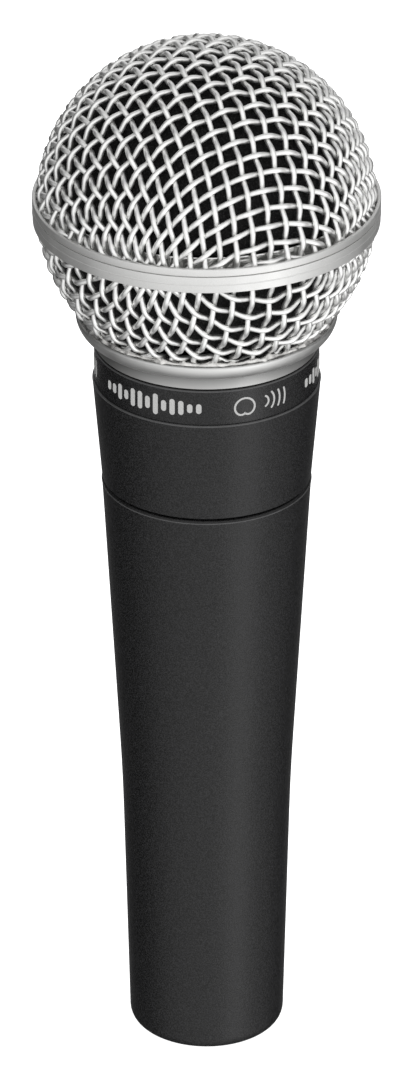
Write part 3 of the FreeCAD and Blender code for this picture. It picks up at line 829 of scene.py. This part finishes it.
def foam_black():
    """Open-cell foam: near black, with a few cell walls that catch the light."""
    shader = Shader("open_cell_foam", (0.006, 0.006, 0.006), 0.8)
    shader.set("Specular IOR Level", 0.15)
    cells = shader.noise(0.17 * MM, 2)
    shader.tint(cells, (0.003, 0.003, 0.003), (0.055, 0.055, 0.055), 0.50, 0.80)
    shader.bump(cells, 0.06 * MM)
    return shader.material


def moulded(name, color, roughness, grain=0.25 * MM, depth=0.004 * MM):
    """Moulded plastic or rubber with a slightly mottled skin."""
    shader = Shader(name, color, roughness)
    texture = shader.noise(grain, 3)
    shader.tint(shader.noise(1.5 * MM, 4), shade(color, 0.82), shade(color, 1.12))
    shader.rough(texture, roughness - 0.06, roughness + 0.08)
    shader.bump(texture, depth)
    return shader.material


def stacked(name, color, roughness, pitch, axis, metallic=1.0):
    """Turns of wire or stamped sheets: fine lines side by side."""
    shader = Shader(name, color, roughness, metallic)
    lines = shader.lines(pitch, axis)
    shader.tint(lines, shade(color, 0.45), color, 0.1, 0.6)
    shader.rough(shader.noise(0.6 * MM, 3), roughness - 0.05, roughness + 0.1)
    shader.bump(lines, pitch / 4)
    return shader.material


def wax(name, color):
    """Potting wax, cloudy and a little see-through."""
    shader = Shader(name, color, 0.45)
    shader.set("Subsurface Weight", 0.35)
    shader.set("Subsurface Radius", (1.0 * MM, 0.7 * MM, 0.4 * MM))
    clouds = shader.noise(1.8 * MM, 4)
    shader.tint(clouds, shade(color, 0.75), shade(color, 1.1))
    shader.rough(clouds, 0.38, 0.55)
    shader.bump(clouds, 0.15 * MM)
    return shader.material


def cloth(name, color, pitch, sheen):
    """Fine woven cloth: threads both ways, with a soft sheen."""
    shader = Shader(name, color, 0.75)
    shader.set("Sheen Weight", sheen)
    shader.tint(shader.noise(0.8 * MM, 3), shade(color, 0.8), shade(color, 1.15))
    shader.bump(shader.lines(pitch, "X"), pitch / 4)
    shader.bump(shader.lines(pitch, "Y"), pitch / 4)
    return shader.material


def felt(name, color):
    """Pressed wool: tangled fibres with a soft sheen."""
    shader = Shader(name, color, 0.95)
    shader.set("Sheen Weight", 0.4)
    fibres = shader.noise(0.12 * MM, 5, (1, 0.2, 0.2))
    shader.tint(fibres, shade(color, 0.6), shade(color, 1.3))
    shader.bump(fibres, 0.08 * MM)
    return shader.material


def film(name, color):
    """Thin polyester film, glossy and partly clear."""
    shader = Shader(name, color, 0.12)
    shader.set("Transmission Weight", 0.5)
    ripple = shader.noise(1.2 * MM, 2)
    shader.tint(ripple, shade(color, 0.9), color)
    shader.rough(ripple, 0.08, 0.2)
    shader.bump(ripple, 0.01 * MM)
    return shader.material


def finishes(colors):
    """A material for every slot that a CAD shape or one of the soft parts inside takes its finish from."""
    across = (1, 0.03, 0.03)
    lengthwise = (1, 1, 0.03)
    return {
        "handle_enamel": enamel("charcoal_enamel", CHARCOAL, ENAMEL_ROUGHNESS),
        "name_band_enamel": enamel("charcoal_enamel_ring", CHARCOAL, 0.25),
        "satin_nickel": matt_plating("satin_nickel", BRIGHT_NICKEL, 0.55),
        "hoop_steel": turned_metal("rolled_steel", BRIGHT_NICKEL, 0.16),
        "shock_rubber": moulded("shock_rubber", colors["shock_rubber"], 0.72, 0.4 * MM, 0.01 * MM),
        "socket_plastic": moulded("socket_plastic", colors["socket_plastic"], 0.42),
        "contact_plating": turned_metal("contact_plating", colors["contact_plating"], 0.20),
        "spring_steel": turned_metal("spring_steel", colors["spring_steel"], 0.28, lengthwise),
        "core_steel": stacked("core_laminations", colors["core_steel"], 0.45, 0.35 * MM, "Y"),
        "bobbin_plastic": moulded("bobbin_plastic", colors["bobbin_plastic"], 0.5),
        "copper_wire": stacked("copper_windings", colors["copper_wire"], 0.28, 0.12 * MM, "Z"),
        "potting_wax": wax("potting_wax", colors["potting_wax"]),
        "lead_insulation": moulded("lead_insulation", colors["lead_insulation"], 0.4),
        "cap_enamel": enamel("cap_enamel", colors["cap_enamel"], 0.4),
        "screen_cloth": cloth("screen_cloth", colors["screen_cloth"], 0.25 * MM, 0.3),
        "felt": felt("wool_felt", colors["felt"]),
        "cartridge_plastic": moulded("cartridge_plastic", colors["cartridge_plastic"], 0.38),
        "pole_steel": turned_metal("pole_steel", colors["pole_steel"], 0.30),
        "magnet_alloy": matt_plating("magnet_alloy", colors["magnet_alloy"], 0.42),
        "tube_aluminium": turned_metal("tube_aluminium", colors["tube_aluminium"], 0.32, lengthwise),
        "lug_brass": turned_metal("lug_brass", colors["lug_brass"], 0.30, across),
        "diaphragm_film": film("diaphragm_film", colors["diaphragm_film"]),
        "former_aluminium": turned_metal("former_aluminium", colors["former_aluminium"], 0.25),
    }


# ---------------------------------------------------------------- stage

def camera():
    """The camera at the photograph's viewing angle."""
    data = bpy.data.cameras.new("camera")
    data.sensor_width = CAMERA_SENSOR
    data.lens = CAMERA_LENS
    data.clip_start = 0.01
    piece = bpy.data.objects.new("camera", data)
    piece.location = CAMERA_PLACE
    piece.rotation_euler = (math.radians(90 - CAMERA_DOWN), 0, 0)
    bpy.context.scene.collection.objects.link(piece)
    bpy.context.scene.camera = piece


def softbox(name, azimuth, elevation, distance, size, power):
    """A rectangular area light that points at the microphone from a direction."""
    aim = Vector((0, 0, 0.09))
    data = bpy.data.lights.new(name, "AREA")
    data.shape = "RECTANGLE"
    data.size = size[0]
    data.size_y = size[1]
    data.energy = power
    piece = bpy.data.objects.new(name, data)
    toward = direction_of(azimuth, elevation)
    piece.location = aim + distance * toward
    piece.rotation_euler = (-toward).to_track_quat("-Z", "Y").to_euler()
    piece.visible_camera = False
    bpy.context.scene.collection.objects.link(piece)


def direction_of(azimuth, elevation):
    """A unit vector from an azimuth and an elevation in degrees."""
    flat = Vector(on_cylinder(1, math.radians(azimuth), 0))
    rise = math.radians(elevation)
    return flat * math.cos(rise) + Vector((0, 0, math.sin(rise)))


def white_floor():
    """A plain white floor that neither shades the light from below nor shows in the metal."""
    half = 6.0
    corners = [(-half, -half, 0), (half, -half, 0), (half, half, 0), (-half, half, 0)]
    floor = mesh_object("floor", corners, [(0, 1, 2, 3)], smooth=False)
    shader = Shader("floor_white", (0.9, 0.9, 0.9), 0.9)
    shader.set("Specular IOR Level", 0.0)
    shader.set("Emission Color", (1, 1, 1, 1))
    shader.set("Emission Strength", 1.0)
    floor.data.materials.append(shader.material)
    floor.visible_glossy = False
    floor.visible_shadow = False


def surround():
    """A grey room with wide soft lights, which the camera itself sees as white."""
    white = (1, 1, 1, 1)
    world = bpy.data.worlds.new("surround")
    world.use_nodes = True
    tree = world.node_tree
    direction = tree.nodes.new("ShaderNodeTexCoord").outputs["Generated"]
    total = None
    for azimuth, elevation, inner, outer, strength in GLOWS:
        dot = tree.nodes.new("ShaderNodeVectorMath")
        dot.operation = "DOT_PRODUCT"
        dot.inputs[1].default_value = direction_of(azimuth, elevation)
        tree.links.new(direction, dot.inputs[0])
        fall = tree.nodes.new("ShaderNodeMapRange")
        fall.interpolation_type = "SMOOTHSTEP"
        fall.inputs["From Min"].default_value = math.cos(math.radians(outer))
        fall.inputs["From Max"].default_value = math.cos(math.radians(inner))
        fall.inputs["To Max"].default_value = strength
        tree.links.new(dot.outputs["Value"], fall.inputs["Value"])
        add = tree.nodes.new("ShaderNodeMath")
        add.inputs[1].default_value = AMBIENT
        if total:
            tree.links.new(total, add.inputs[1])
        tree.links.new(fall.outputs["Result"], add.inputs[0])
        total = add.outputs["Value"]
    seen = tree.nodes.new("ShaderNodeLightPath").outputs["Is Camera Ray"]
    backdrop = tree.nodes.new("ShaderNodeMath")
    backdrop.operation = "MAXIMUM"
    tree.links.new(total, backdrop.inputs[0])
    tree.links.new(seen, backdrop.inputs[1])
    background = tree.nodes["Background"]
    background.inputs["Color"].default_value = white
    tree.links.new(backdrop.outputs["Value"], background.inputs["Strength"])
    bpy.context.scene.world = world


def stage():
    """The floor, the room and the lights."""
    white_floor()
    surround()
    softbox("patch", azimuth=42, elevation=-27, distance=0.9, size=(0.40, 0.45), power=0.82)
    bpy.context.scene.view_settings.view_transform = "Standard"


# ---------------------------------------------------------------- the microphone

def paint_nodes():
    """A finished material for every CAD node, but for the mesh and foam. Returns the materials by slot."""
    record = frame["record"]
    colors = {entry["slot"]: tuple(entry["base_color"][:3]) for entry in record["materials"]}
    by_slot = finishes(colors)
    slots = {part["node"]: part["material_slot"] for part in record["subparts"]}
    for name, piece in frame["nodes"].items():
        if slots[name] in by_slot:
            piece.data.materials.clear()
            piece.data.materials.append(by_slot[slots[name]])
    frame["nodes"]["grille_collar"].data.materials[0] = collar_metal()
    frame["nodes"]["neck_sleeve"].data.materials[0] = neck_enamel()
    return by_slot


def build():
    """Every piece of the visual model."""
    by_slot = paint_nodes()
    wire = wire_metal()
    foam = foam_black()
    margin = 0.3 * MM               # the wires end this far inside the CAD shells' edges under the band
    dome_end_z = DOME_LOW.z + margin
    bowl_end_z = BOWL_HIGH.z - margin
    woven_shell("dome", DOME_WEAVE, True, dome_end_z, DOME_HIGH.z, wire, "grille_dome_mesh")
    woven_shell("bowl", BOWL_WEAVE, False, EDGE_CUT_Z, bowl_end_z, wire, "grille_bowl_mesh")
    foam_shell("dome_foam", "foam_dome_liner", foam)
    foam_shell("bowl_foam", "foam_bowl_liner", foam)
    ball_band(matt_plating("band_nickel", BAND_NICKEL, 0.52))
    solder_bead(solder())
    name_band_marks(ink())
    # the rounded edges' lighter colour is a painted highlight
    edges_painted_highlight(moulded("enamel_painted_highlight", EDGE_HIGHLIGHT_CHARCOAL, 0.35))
    shock_ring(by_slot["shock_rubber"])
    cartridge_wires(by_slot["lead_insulation"])


build()
camera()
stage()
